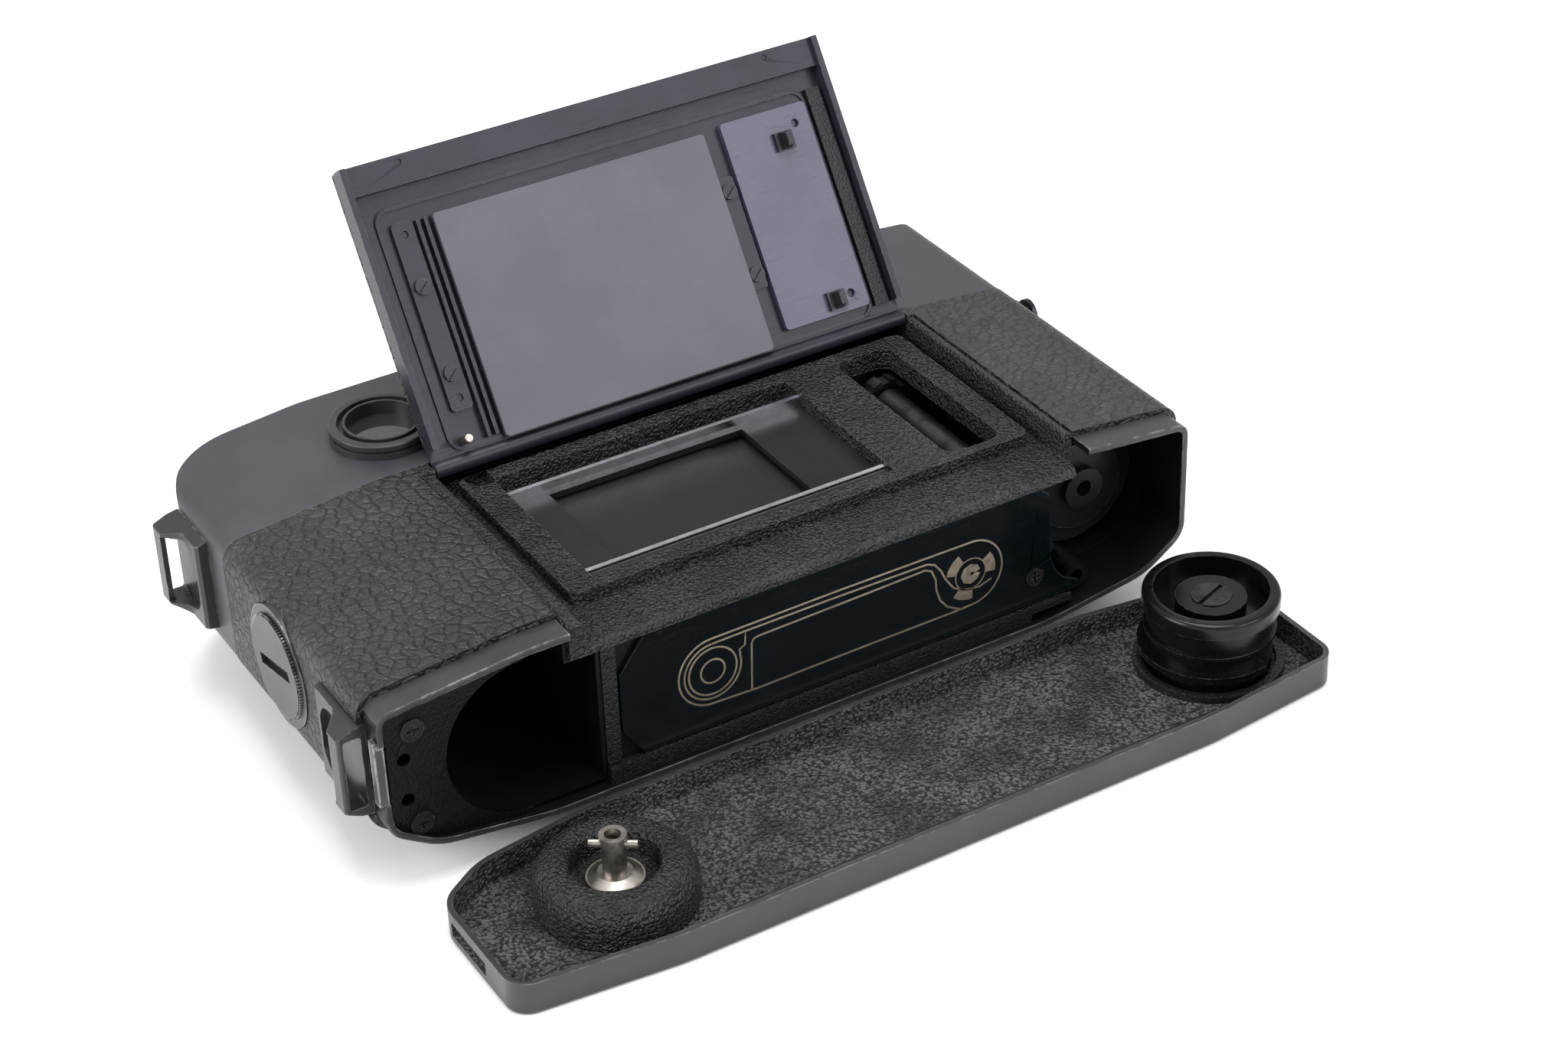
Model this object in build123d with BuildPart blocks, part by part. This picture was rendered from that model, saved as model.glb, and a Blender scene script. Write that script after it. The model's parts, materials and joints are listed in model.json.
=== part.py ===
from build123d import *
import math
import os

# 35 mm rangefinder camera lying on its lens mount, back door open, base plate taken off.
# Millimetres. X runs along the camera, Y towards its top cover, Z out of its back.
# The origin is the centre of the lens flange, which is also the surface it lies on.

# ---- driving dimensions: body ----
MID_X = 4.8                     # middle of the body's length, from the lens axis
HALF = 74.6                     # half the length over the leather
Z_FRONT = 3.0                   # front leather surface
Z_BACK = 37.2                   # back leather surface
SKIN = 1.0                      # leather thickness
WALL = 1.2                      # metal shell thickness
FIT = 0.1                       # inner pieces stand this far off the shell
Y_BOTTOM = -30.1                # open bottom edge of the shell
Y_LEATHER = -25.4               # lower edge of the leather
Y_SEAM = 24.2                   # seam between shell and top cover
Y_TOP = 53.6                    # top of the top cover
END_X = MID_X - HALF            # leather surface of the left end
RIGHT_X = MID_X + HALF          # leather surface of the right end

# ---- driving dimensions: back recess, film gate and windows ----
REC_L, REC_R = -36.3, 58.3      # inner edges of the back leather
LEDGE_Z = 32.2                  # recess floor
FRAME_Z = 34.3                  # raised frame round gate and window
SLAB_Z = 30.6                   # underside of the gate frame
SLAB_Y = -29.2                  # lower edge of the gate frame
GATE_W, GATE_H = 36.0, 24.0     # 35 mm picture size
RAIL_Z = 33.9                   # film rails
RAIL_Y = 13.2                   # rail centre lines either side of the lens axis
WELL = (-25.0, 30.1, -15.9, 17.9)      # x and y limits of the sunk gate area
WINDOW = (39.9, 50.4, -16.9, 18.0)     # x and y limits of the take-up window
FRAME = (-30.1, 54.6, -18.7, 20.9)     # x and y limits of the raised frame
CRATE_Y = -27.6                 # lower face of the shutter crate
CRATE_L = -30.9                 # its left face, against the cassette chamber

# ---- driving dimensions: chambers ----
CASSETTE = (-44.3, 20.3)        # x and z of the cassette axis
CASSETTE_R = 13.6
TAKEUP = (65.3, 20.1)           # x and z of the take-up axis
TAKEUP_R = 12.3
TAKEUP_DECK = -19.5             # lower face of the take-up chamber block
SPROCKET = (46.8, 27.2)         # x and z of the sprocket shaft

# ---- driving dimensions: lens mount and battery ----
MOUNT_R, MOUNT_BORE = 23.5, 21.9
BATTERY = (4.1, 23.4)           # y and z of the battery axis
COVER_R, BARREL_R = 8.8, 7.6

# ---- driving dimensions: door, built on its own inclined planes ----
HINGE_Y, HINGE_Z = 22.4, 36.3   # hinge axis
DOOR_LEAN = 56.0                # degrees above +Y when open
DOOR_L, DOOR_R = -33.1, 56.3
DOOR_LEN = 50.3
PLATE = (-20.0, 30.6, 1.6, 39.6)       # x and v limits of the pressure plate
GUIDE = (34.2, 50.8, 3.8, 40.3)        # x and v limits of the film guide plate

# ---- driving dimensions: base plate ----
BASE_X, BASE_Y = 8.7, -49.7     # where its middle lies
BASE_INSET = 0.7                # its inside stands 0.3 mm off the shell
BASE_WALL = 0.9
BASE_FLOOR = 1.2
RIM_H = 5.8
REWIND = (-41.3, -49.3)         # rewind spindle axis
LOCK = (69.2, -49.3)            # lock drum axis

# ---- small controls and fittings ----
BUTTON_PLACE, BUTTON_R = (29.0, -9.0), 3.2     # lens release button on the front
LUG_HIGH = 16.4                 # a strap lug's foot along Z
LOWER_LUG = (-26.0, 13.9, 13.7)                # y of its loop end, z of its lower edge, length
UPPER_LUG = (42.7, 15.2, 12.1)
STUD_PLACE, STUD_R = (20.5, 30.0), 2.9         # y and z of the strap stud on the right end
CATCH = (-31.0, -28.4, 17.6, 28.2)             # y and z limits of its notch in the shell
EYE = (-35.3, 36.8)             # x and y of the viewfinder eyepiece
LEVER = (60.0, 19.0)            # x and z of the advance lever's pivot
DIAL = (33.0, 15.0)             # x and z of the speed dial
RELEASE = (47.0, 16.0)          # x and z of the shutter release
COUNTER = (51.5, 28.5)          # x and z of the frame counter window
COUNTER_AXIS = (48.5, 26.5)     # x and z of the counter disc
FRONT_WINDOWS = (               # x and y limits of the finder windows
    (-44.0, -28.0, 36.0, 46.0),
    (-16.0, 2.0, 38.0, 44.0),
    (9.5, 14.5, 38.5, 43.5),
)

COS_D, SIN_D = math.cos(math.radians(DOOR_LEAN)), math.sin(math.radians(DOOR_LEAN))

# plan view of the body over the leather: x from its middle, z, corner radius
RIGHT_CORNERS = [
    (48.0, Z_BACK, 40.0),
    (HALF, Z_BACK - 2.6, 3.5),
    (HALF, Z_FRONT + 8.5, 6.0),
    (66.0, Z_FRONT + 2.8, 14.0),
    (46.0, Z_FRONT, 40.0),
]
LEFT_CORNERS = [(-x, z, r) for x, z, r in reversed(RIGHT_CORNERS)]
PLAN = RIGHT_CORNERS + LEFT_CORNERS


def level(y):
    """Plane at height y: local X along the camera, local Y out of the back, extrudes down."""
    return Plane.XZ.offset(-y)


def deck(z):
    """Plane at depth z, seen from the back of the camera."""
    return Plane.XY.offset(z)


def side(x):
    """Plane at x: local X is Y, local Y is Z, extrudes towards +X."""
    return Plane.YZ.offset(x)


def door_plane(w):
    """Plane on the open door, w above its sheet: local X along the hinge, local Y up the door."""
    origin = (0, HINGE_Y - w * SIN_D, HINGE_Z + w * COS_D)
    return Plane(origin=origin, x_dir=(1, 0, 0), z_dir=(0, -SIN_D, COS_D))


def plan_outline(inset):
    """The body's plan outline, moved in by inset, as a face in the current sketch."""
    with BuildLine() as outline:
        points = [(MID_X + x, z) for x, z, r in PLAN]
        FilletPolyline(*points, radius=[r for x, z, r in PLAN], close=True)
    face = make_face(outline.edges(), mode=Mode.PRIVATE)
    if inset:
        face = offset(face, amount=-inset, mode=Mode.PRIVATE)
    add(face)


def base_outline(inset):
    """The same outline laid flat where the base plate lies, its back edge nearest the viewer."""
    with BuildLine() as outline:
        middle = (Z_FRONT + Z_BACK) / 2
        points = [(BASE_X + x, BASE_Y - (z - middle)) for x, z, r in PLAN]
        FilletPolyline(*points, radius=[r for x, z, r in PLAN], close=True)
    face = make_face(outline.edges(), mode=Mode.PRIVATE)
    offset(face, amount=-inset)


def rect(x0, x1, y0, y1, radius=0.0, mode=Mode.ADD):
    """A rectangle by its limits, with optional corner radius."""
    with Locations(((x0 + x1) / 2, (y0 + y1) / 2)):
        if radius:
            RectangleRounded(x1 - x0, y1 - y0, radius, mode=mode)
        else:
            Rectangle(x1 - x0, y1 - y0, mode=mode)


def bar(plane, height, limits, radius=0.0, mode=Mode.ADD):
    """A straight-sided block of the given height on a plane."""
    with BuildSketch(plane) as profile:
        rect(*limits, radius=radius)
    extrude(profile.sketch, amount=height, mode=mode)


def disc(plane, height, centre, radius, mode=Mode.ADD):
    """A round block of the given height on a plane."""
    with BuildSketch(plane) as profile:
        with Locations(centre):
            Circle(radius)
    extrude(profile.sketch, amount=height, mode=mode)


def ring(plane, height, centre, outer, inner, mode=Mode.ADD):
    """A round tube of the given height on a plane."""
    with BuildSketch(plane) as profile:
        with Locations(centre):
            Circle(outer)
            Circle(inner, mode=Mode.SUBTRACT)
    extrude(profile.sketch, amount=height, mode=mode)


def toothed(plane, height, centre, radius, teeth, depth, mode=Mode.ADD):
    """A disc with square notches round its edge, as a knurled or toothed rim."""
    width = math.pi * radius / teeth
    with BuildSketch(plane) as profile:
        with Locations(centre):
            Circle(radius)
            with PolarLocations(radius, teeth):
                Rectangle(2 * depth, width, mode=Mode.SUBTRACT)
    extrude(profile.sketch, amount=height, mode=mode)


def cross_slot(plane, depth, centre, length, width):
    """A Phillips recess cut down from a plane."""
    with BuildSketch(plane) as profile:
        with Locations(centre):
            Rectangle(length, width)
            Rectangle(width, length)
    extrude(profile.sketch, amount=-depth, mode=Mode.SUBTRACT)


def straight_slot(plane, depth, centre, length, width, turn):
    """A screwdriver slot cut down from a plane."""
    with BuildSketch(plane) as profile:
        with Locations(Location(centre, turn)):
            Rectangle(length, width)
    extrude(profile.sketch, amount=-depth, mode=Mode.SUBTRACT)


def save(piece, name):
    """Label a finished piece and write it."""
    piece.part.label = name
    export_step(piece.part, "parts/" + name + ".step")


os.makedirs("parts", exist_ok=True)

# ================= body: shell, leather and top cover =================

with BuildPart() as body_shell:
    with BuildSketch(level(Y_SEAM)):
        plan_outline(SKIN)
    extrude(amount=Y_SEAM - Y_BOTTOM)
    with BuildSketch(level(Y_SEAM)):
        plan_outline(SKIN + WALL)
    extrude(amount=Y_SEAM - Y_BOTTOM, mode=Mode.SUBTRACT)
    bar(deck(26), 14, (REC_L, REC_R, Y_BOTTOM - 1, Y_SEAM + 1), mode=Mode.SUBTRACT)
    disc(deck(0), 8, (0, 0), MOUNT_R + 0.2, mode=Mode.SUBTRACT)
    disc(deck(0), 8, BUTTON_PLACE, BUTTON_R + 0.2, mode=Mode.SUBTRACT)
    disc(side(END_X - 1), 4, BATTERY, BARREL_R + FIT, mode=Mode.SUBTRACT)
    bar(side(END_X - 1), 3, CATCH, mode=Mode.SUBTRACT)
save(body_shell, "body_shell")

with BuildPart() as body_leather:
    with BuildSketch(level(Y_SEAM - 0.2)):
        plan_outline(0)
    extrude(amount=Y_SEAM - 0.2 - Y_LEATHER)
    with BuildSketch(level(Y_SEAM)):
        plan_outline(SKIN - 0.03)
    extrude(amount=60, mode=Mode.SUBTRACT)
    bar(deck(26), 14, (REC_L, REC_R, -60, 60), mode=Mode.SUBTRACT)
    bar(deck(0), 10, (-0.05, 0.05, -60, 60), mode=Mode.SUBTRACT)
    disc(deck(0), 8, (0, 0), MOUNT_R + 0.2, mode=Mode.SUBTRACT)
    disc(deck(0), 8, BUTTON_PLACE, BUTTON_R + 0.2, mode=Mode.SUBTRACT)
    disc(side(END_X - 1), 4, BATTERY, COVER_R + 1.45, mode=Mode.SUBTRACT)
    y_end, z_low, length = LOWER_LUG
    foot = (y_end - 1, y_end + length + 0.1, z_low - 0.1, z_low + LUG_HIGH + 0.1)
    bar(side(END_X - 1), 3, foot, mode=Mode.SUBTRACT)
    disc(side(RIGHT_X - 2), 4, STUD_PLACE, STUD_R + 0.05, mode=Mode.SUBTRACT)
save(body_leather, "body_leather")

TOP_WALL = 1.4


def cover_block(inset):
    """The top cover's outer form, moved in by inset on every side but the bottom."""
    with BuildSketch(level(Y_TOP - inset)) as plan:
        plan_outline(0.15 + inset)
    extrude(plan.sketch, amount=Y_TOP - inset - Y_SEAM)
    with BuildSketch(deck(-5)) as front:
        rect(END_X + inset, RIGHT_X - inset, 0, Y_TOP - inset)
        upper = vertices().group_by(Axis.Y)[-1].sort_by(Axis.X)
        fillet(upper[0], 14.0 - inset)
        fillet(upper[-1], 7.0 - inset)
    extrude(front.sketch, amount=60, mode=Mode.INTERSECT)


with BuildPart() as cover_hollow:
    cover_block(TOP_WALL)

with BuildPart() as top_cover:
    cover_block(0)
    add(cover_hollow.part, mode=Mode.SUBTRACT)
    disc(deck(30), 10, EYE, 7.6, mode=Mode.SUBTRACT)
    for window in FRONT_WINDOWS:
        bar(deck(0), 6, window, radius=0.8, mode=Mode.SUBTRACT)
    disc(level(Y_TOP + 1), 6, RELEASE, 2.4, mode=Mode.SUBTRACT)
    disc(level(Y_TOP + 1), 6, COUNTER, 3.2, mode=Mode.SUBTRACT)
save(top_cover, "top_cover")

# ================= back: gate frame, gate plate, rails, shutter =================

BRACKET_Y = 20.9                # the hinge brackets start here
with BuildPart() as gate_frame:
    bar(deck(SLAB_Z), LEDGE_Z - SLAB_Z, (REC_L + FIT, 56.5, SLAB_Y, Y_SEAM - FIT))
    nose = gate_frame.edges().filter_by(Axis.X).group_by(Axis.Y)[0].sort_by(Axis.Z)[-1]
    fillet(nose, 1.2)
    bar(deck(SLAB_Z), FRAME_Z - SLAB_Z, FRAME, radius=1.5)
    bar(deck(SLAB_Z), 36.5 - SLAB_Z, (REC_L + FIT, -33.4, SLAB_Y, BRACKET_Y))
    fillet(gate_frame.edges().filter_by(Axis.Y).group_by(Axis.Z)[-1], 0.8)
    bar(deck(SLAB_Z), 9, WELL, mode=Mode.SUBTRACT)
    bar(deck(SLAB_Z), 9, WINDOW, radius=2.4, mode=Mode.SUBTRACT)
    bar(deck(LEDGE_Z), 9, (-29.0, -24.6, 17.0, 22.0), mode=Mode.SUBTRACT)
save(gate_frame, "gate_frame")

with BuildPart() as recess_side_rail:
    bar(deck(SLAB_Z), 36.6 - SLAB_Z, (56.6, REC_R - FIT, Y_LEATHER, BRACKET_Y))
    fillet(recess_side_rail.edges().filter_by(Axis.Y).group_by(Axis.Z)[-1], 0.7)
save(recess_side_rail, "recess_side_rail")

LAND_Z = 32.0
with BuildPart() as gate_plate:
    x0, x1, y0, y1 = WELL
    bar(deck(SLAB_Z + 0.3), LAND_Z - SLAB_Z - 0.3, (x0, x1, y0, y1))
    bar(deck(LAND_Z), 1.6, (x0, x1, y0, -RAIL_Y - 0.6))
    bar(deck(LAND_Z), 1.6, (x0, x1, RAIL_Y + 0.6, RAIL_Y + 1.2))
    bar(deck(SLAB_Z), 5, (x0 + 1, x1 - 1, RAIL_Y + 1.2, y1), mode=Mode.SUBTRACT)
    bar(deck(SLAB_Z), 5, (-GATE_W / 2, GATE_W / 2, -GATE_H / 2, GATE_H / 2), mode=Mode.SUBTRACT)
save(gate_plate, "gate_plate")

with BuildPart() as film_rails:
    for sign in (-1, 1):
        middle = sign * RAIL_Y
        bar(deck(LAND_Z), RAIL_Z - LAND_Z, (WELL[0], WELL[1], middle - 0.4, middle + 0.4))
save(film_rails, "film_rails")

with BuildPart() as shutter_curtains:
    bar(deck(30.15), 0.25, (-27.0, 12.0, -14.0, 14.0))
    bar(deck(29.75), 0.25, (9.5, 29.0, -14.0, 14.0))
    bar(deck(29.5), 0.65, (12.1, 13.6, -14.0, 14.0))
save(shutter_curtains, "shutter_curtains")

with BuildPart() as shutter_crate:
    bar(deck(5.6), SLAB_Z - 5.6, (CRATE_L, 50.4, CRATE_Y, 22.0))
    bar(deck(5), 30, (-18.6, 18.6, -12.6, 12.6), mode=Mode.SUBTRACT)
    bar(deck(29.4), 5, (-28.0, 30.5, -15.0, 15.0), mode=Mode.SUBTRACT)
    bar(deck(17), 20, (28.0, 38.4, -16.5, 16.5), mode=Mode.SUBTRACT)
    bar(deck(20), 20, (-27.6, -20.6, -16.5, 16.5), mode=Mode.SUBTRACT)
    bar(deck(20), 20, (39.6, 60, -18.5, 18.8), mode=Mode.SUBTRACT)
    disc(deck(5), 2.2, (0, 0), MOUNT_R + 0.3, mode=Mode.SUBTRACT)
save(shutter_crate, "shutter_crate")

with BuildPart() as curtain_rollers:
    disc(level(16.2), 32.4, (33.2, 23.6), 4.6)
    disc(level(14.2), 28.4, (33.2, 23.6), 5.0)
    for z in (26.6, 22.2):
        disc(level(16.2), 32.4, (-24.1, z), 1.9)
save(curtain_rollers, "curtain_rollers")

# ================= film chambers =================

with BuildPart() as cassette_chamber:
    cx, cz = CASSETTE
    outer = CASSETTE_R + 0.7
    with BuildSketch(level(21.5)):
        with Locations(CASSETTE):
            Circle(outer)
        rect(cx, CRATE_L - FIT, cz - outer, SLAB_Z - FIT)
        rect(cx, REC_L, cz, cz + outer)
        rect(REC_L, 0, SLAB_Z - FIT, 60, mode=Mode.SUBTRACT)
        rect(CRATE_L - FIT, 0, 0, 60, mode=Mode.SUBTRACT)
    extrude(amount=21.5 + 28.2)
    with BuildSketch(level(20.5)):
        with Locations(CASSETTE):
            Circle(CASSETTE_R)
        rect(cx, CRATE_L - 0.8, cz - CASSETTE_R, SLAB_Z - 0.8)
        rect(cx, REC_L - 0.7, cz, cz + CASSETTE_R)
        rect(REC_L - 0.7, 0, SLAB_Z - 0.8, 60, mode=Mode.SUBTRACT)
        rect(CRATE_L - 0.8, 0, 0, 60, mode=Mode.SUBTRACT)
    extrude(amount=60, mode=Mode.SUBTRACT)
save(cassette_chamber, "cassette_chamber")

with BuildPart() as end_plate:
    with BuildSketch(level(-28.2)):
        plan_outline(SKIN + WALL + FIT)
        rect(CASSETTE[0], 90, 0, 60, mode=Mode.SUBTRACT)
        with Locations(CASSETTE):
            Circle(CASSETTE_R, mode=Mode.SUBTRACT)
        with Locations((-64.6, 24.0), (-64.6, 16.6)):
            Circle(1.1, mode=Mode.SUBTRACT)
    extrude(amount=1.0)
save(end_plate, "end_plate")

with BuildPart() as chassis_bars:
    bar(level(-27.7), 1.6, (CRATE_L, 48.0, Z_FRONT + SKIN + WALL + FIT, 8.1))
    bar(level(-27.7), 1.6, (48.0, 56.0, 6.8, 8.1))
    bar(level(-24.0), 5.3, (50.5, 56.0, 6.8, 8.1))
    bar(level(CRATE_Y), 0.9, (CRATE_L, -28.4, 8.4, 30.2), radius=0.6)
    for z in (10.6, 27.4):
        disc(level(CRATE_Y - 0.9), 0.3, (-29.6, z), 0.8)
save(chassis_bars, "chassis_bars")

with BuildPart() as takeup_chamber:
    with BuildSketch(level(22.0)):
        plan_outline(SKIN + WALL + FIT)
        rect(50.6, 90, 0, 60, mode=Mode.INTERSECT)
        rect(50, REC_R, SLAB_Z - FIT, 60, mode=Mode.SUBTRACT)
    extrude(amount=22.0 - TAKEUP_DECK)
    disc(level(20.0), 60, TAKEUP, TAKEUP_R, mode=Mode.SUBTRACT)
    bar(level(18.8), 37.3, (50.0, 58.0, 22.6, 31.0), mode=Mode.SUBTRACT)
save(takeup_chamber, "takeup_chamber")

with BuildPart() as takeup_spool:
    disc(level(18.5), 35.0, TAKEUP, 6.6)
    disc(level(18.5), 1.4, TAKEUP, 11.4)
    disc(level(-15.0), 1.4, TAKEUP, 11.4)
    disc(level(-16.4), 1.6, TAKEUP, 8.2)
    disc(level(-18.0), 1.4, TAKEUP, 3.6)
    with BuildSketch(level(16.0)):
        with Locations(TAKEUP):
            with PolarLocations(6.6, 3, start_angle=30):
                Rectangle(7.0, 1.8)
    extrude(amount=30.0, mode=Mode.SUBTRACT)
    disc(level(-16.0), 4, TAKEUP, 1.5, mode=Mode.SUBTRACT)
save(takeup_spool, "takeup_spool")

with BuildPart() as sprocket_shaft:
    disc(level(18.2), 36.0, SPROCKET, 1.6)
    disc(level(12.0), 24.0, SPROCKET, 2.8)
    for top in (15.0, -12.6):
        toothed(level(top), 2.4, SPROCKET, 4.3, 8, 0.6)
save(sprocket_shaft, "sprocket_shaft")

with BuildPart() as guide_bushings:
    ring(level(TAKEUP_DECK), 7.5, (58.6, 9.4), 2.3, 1.1)
    ring(level(TAKEUP_DECK), 3.0, (55.0, 13.6), 2.0, 0.9)
save(guide_bushings, "guide_bushings")

# ================= bottom of the body =================

PLATE_Y = CRATE_Y
with BuildPart() as diagram_plate:
    with BuildSketch(level(PLATE_Y)):
        with BuildLine():
            Polyline((52.0, 17.6), (51.6, 28.6), (50.0, 30.2), (-23.4, 30.2), (-28.0, 24.2),
                     (-28.0, 13.6), (-24.4, 8.4), (57.0, 8.4), (57.6, 10.0))
            Spline((57.6, 10.0), (54.6, 11.6), (52.8, 14.2), (52.0, 17.6))
        make_face()
        with Locations((48.9, 13.6)):
            Circle(1.7, mode=Mode.SUBTRACT)
    extrude(amount=1.0)
save(diagram_plate, "diagram_plate")

with BuildPart() as bottom_screws:
    for place in ((-62.9, 29.0), (-62.9, 11.8)):
        disc(level(-29.2), 0.5, place, 1.9)
        cross_slot(level(-29.7), 0.35, place, 2.0, 0.5)
    disc(level(PLATE_Y - 0.2), 1.0, (48.9, 13.6), 1.65)
    cross_slot(level(PLATE_Y - 1.2), 0.5, (48.9, 13.6), 2.2, 0.5)
save(bottom_screws, "bottom_screws")

with BuildPart() as catch_plate:
    y0, y1, z0, z1 = CATCH
    bar(side(END_X + 0.3), 1.6, (-30.0, y1, z0 + 0.05, z1 - 0.05))
    bar(side(END_X + 0.3), 0.65, (-30.0, y1, z1 - 0.05, z1 + 1.0))
save(catch_plate, "catch_plate")

# ================= ends: strap lugs, strap stud and battery =================

LOOP_OUT, FLANGE_OUT = 4.7, 2.1        # how far the loop and the flange stand out from the foot
LOOP_LONG, NECK_END = 3.5, 6.8         # distances along Y from the loop's end
LUG_FLOOR, LUG_BAR = 0.9, 0.9          # plate under the slot, and the outer bar


def lug(foot_x, place, turn):
    """A strap lug: a loop at y_end and a flange with a sunk panel, away from it when turn is -1."""
    y_end, z_low, length = place
    side_view = [(0, 0), (LOOP_OUT, 0), (LOOP_OUT, LOOP_LONG)]
    side_view += [(LOOP_OUT - 0.9, LOOP_LONG + 0.9), (FLANGE_OUT + 0.5, NECK_END - 1.0)]
    side_view += [(FLANGE_OUT, NECK_END), (FLANGE_OUT, length - 0.5)]
    side_view += [(FLANGE_OUT - 0.5, length), (0, length)]
    end_view = [(0, 0), (FLANGE_OUT, 0.3), (LOOP_OUT, 1.5), (LOOP_OUT, LUG_HIGH - 1.5)]
    end_view += [(FLANGE_OUT, LUG_HIGH - 0.4), (0, LUG_HIGH)]
    y_far = y_end + turn * length
    y_low, y_high = min(y_end, y_far), max(y_end, y_far)
    with BuildPart(mode=Mode.PRIVATE) as piece:
        with BuildSketch(deck(z_low)) as profile:
            with BuildLine() as outline:
                Polyline(*[(foot_x - p, y_end + turn * q) for p, q in side_view], close=True)
            make_face(outline.edges())
        extrude(profile.sketch, amount=LUG_HIGH)
        with BuildSketch(level(y_high + 1)) as profile:
            with BuildLine() as outline:
                Polyline(*[(foot_x - p, z_low + q) for p, q in end_view], close=True)
            make_face(outline.edges())
        extrude(profile.sketch, amount=length + 2, mode=Mode.INTERSECT)
        fillet(piece.edges().filter_by(Axis.Z).group_by(Axis.X)[0], 0.5)
        slot = (foot_x - LOOP_OUT + LUG_BAR, foot_x - LUG_FLOOR, z_low + 1.8, z_low + LUG_HIGH - 2.0)
        bar(level(max(y_end, y_end + turn * 5) + 1), 7, slot, radius=0.5, mode=Mode.SUBTRACT)
        near, far = y_end + turn * (LOOP_LONG - 0.4), y_end + turn * (length - 1.3)
        panel = (min(near, far), max(near, far), z_low + 1.8, z_low + LUG_HIGH - 2.0)
        with BuildSketch(side(foot_x - 9)) as profile:
            rect(*panel)
            rim = vertices().group_by(Axis.X)[0 if far < near else -1]
            fillet(rim, 4.0)
        extrude(profile.sketch, amount=9 - LUG_FLOOR, mode=Mode.SUBTRACT)
    return piece.part


with BuildPart() as strap_lugs:
    add(lug(END_X + 0.15, UPPER_LUG, -1))
    add(lug(END_X + SKIN, LOWER_LUG, 1))
save(strap_lugs, "strap_lugs")

with BuildPart() as strap_stud:
    disc(side(RIGHT_X - SKIN), SKIN + 0.2, STUD_PLACE, STUD_R)
    disc(side(RIGHT_X + 0.2), 1.6, STUD_PLACE, 1.6)
    disc(side(RIGHT_X + 1.8), 0.8, STUD_PLACE, 2.5)
save(strap_stud, "strap_stud")

with BuildPart() as battery_seat:
    ring(side(END_X - 0.25), 1.25, BATTERY, COVER_R + 1.4, COVER_R + 0.05)
    ring(side(END_X + 1.0), 8.4, BATTERY, BARREL_R, BARREL_R - 0.6)
    ring(side(END_X + 0.8), 0.2, BATTERY, COVER_R + 0.2, BARREL_R - 0.6)
    disc(side(END_X + 9.4), 0.8, BATTERY, BARREL_R)
save(battery_seat, "battery_seat")

with BuildPart() as battery_cover:
    disc(side(END_X - 0.85), 1.6, BATTERY, COVER_R - 0.35)
    toothed(side(END_X - 0.7), 1.45, BATTERY, COVER_R, 96, 0.3)
    straight_slot(side(END_X - 0.85), -1.0, BATTERY, 11.4, 1.9, -12.6)
save(battery_cover, "battery_cover")

with BuildPart() as battery_cell:
    disc(side(END_X + 1.4), 6.0, BATTERY, 6.8)
    disc(side(END_X + 7.4), 1.6, BATTERY, 4.6)
save(battery_cell, "battery_cell")

# ================= eyepiece, windows and finder block =================

with BuildPart() as eyepiece_ring:
    ring(deck(35.0), 2.05, EYE, 7.6, 6.0)
    ring(deck(37.05), 2.6, EYE, 8.8, 6.0)
    ring(deck(38.4), 2.0, EYE, 7.4, 6.4, mode=Mode.SUBTRACT)
    ring(deck(38.2), 0.6, EYE, 9.5, 8.3, mode=Mode.SUBTRACT)
    outer_edge = eyepiece_ring.edges().filter_by(GeomType.CIRCLE).group_by(Axis.Z)[-1]
    fillet(outer_edge.sort_by(SortBy.RADIUS)[-1], 0.3)
save(eyepiece_ring, "eyepiece_ring")

with BuildPart() as finder_glass:
    disc(deck(36.0), 1.2, EYE, 6.0)
    for window in FRONT_WINDOWS:
        bar(deck(Z_FRONT + 0.5), 1.0, window, radius=0.8)
    disc(level(Y_TOP - 0.2), 1.2, COUNTER, 3.2)
save(finder_glass, "finder_glass")

with BuildPart() as finder_block:
    bar(deck(7.0), 26.0, (-47.0, 16.0, 28.0, 48.5))
save(finder_block, "finder_block")

# ================= top controls =================

with BuildPart() as top_fittings:
    bar(level(Y_TOP + 4.2), 4.2, (-11.0, 11.0, 9.5, 28.5))
    bar(level(Y_TOP + 3.2), 2.2, (-9.35, 9.35, 11.0, 40.0), mode=Mode.SUBTRACT)
    bar(level(Y_TOP + 5), 3.0, (-6.4, 6.4, 11.0, 40.0), mode=Mode.SUBTRACT)
    ring(level(Y_TOP + 1.6), 1.6, RELEASE, 4.6, 2.5)
save(top_fittings, "top_fittings")

with BuildPart() as speed_dial:
    toothed(level(Y_TOP + 4.4), 4.1, DIAL, 8.8, 48, 0.35)
    disc(level(Y_TOP + 4.8), 0.4, DIAL, 8.0)
    ring(level(Y_TOP + 4.9), 0.3, DIAL, 5.0, 4.4, mode=Mode.SUBTRACT)
save(speed_dial, "speed_dial")

with BuildPart() as release_button:
    disc(level(Y_TOP + 2.8), 5.6, RELEASE, 2.3)
    disc(level(Y_TOP + 3.0), 1.2, RELEASE, 0.9, mode=Mode.SUBTRACT)
save(release_button, "release_button")

with BuildPart() as advance_lever:
    lx, lz = LEVER
    disc(level(Y_TOP + 3.2), 2.9, LEVER, 6.8)
    with BuildSketch(level(Y_TOP + 2.2)):
        with BuildLine():
            Polyline((lx - 2.0, lz + 6.3), (lx + 10.5, lz + 12.3), (lx + 14.0, lz + 11.2),
                     (lx + 14.0, lz + 8.2), (lx + 6.0, lz - 3.0), close=True)
        make_face()
    extrude(amount=1.8)
save(advance_lever, "advance_lever")

with BuildPart() as counter_disc:
    disc(level(Y_TOP - 2.4), 0.6, COUNTER_AXIS, 7.0)
save(counter_disc, "counter_disc")

# ================= front: mount and controls =================

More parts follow.
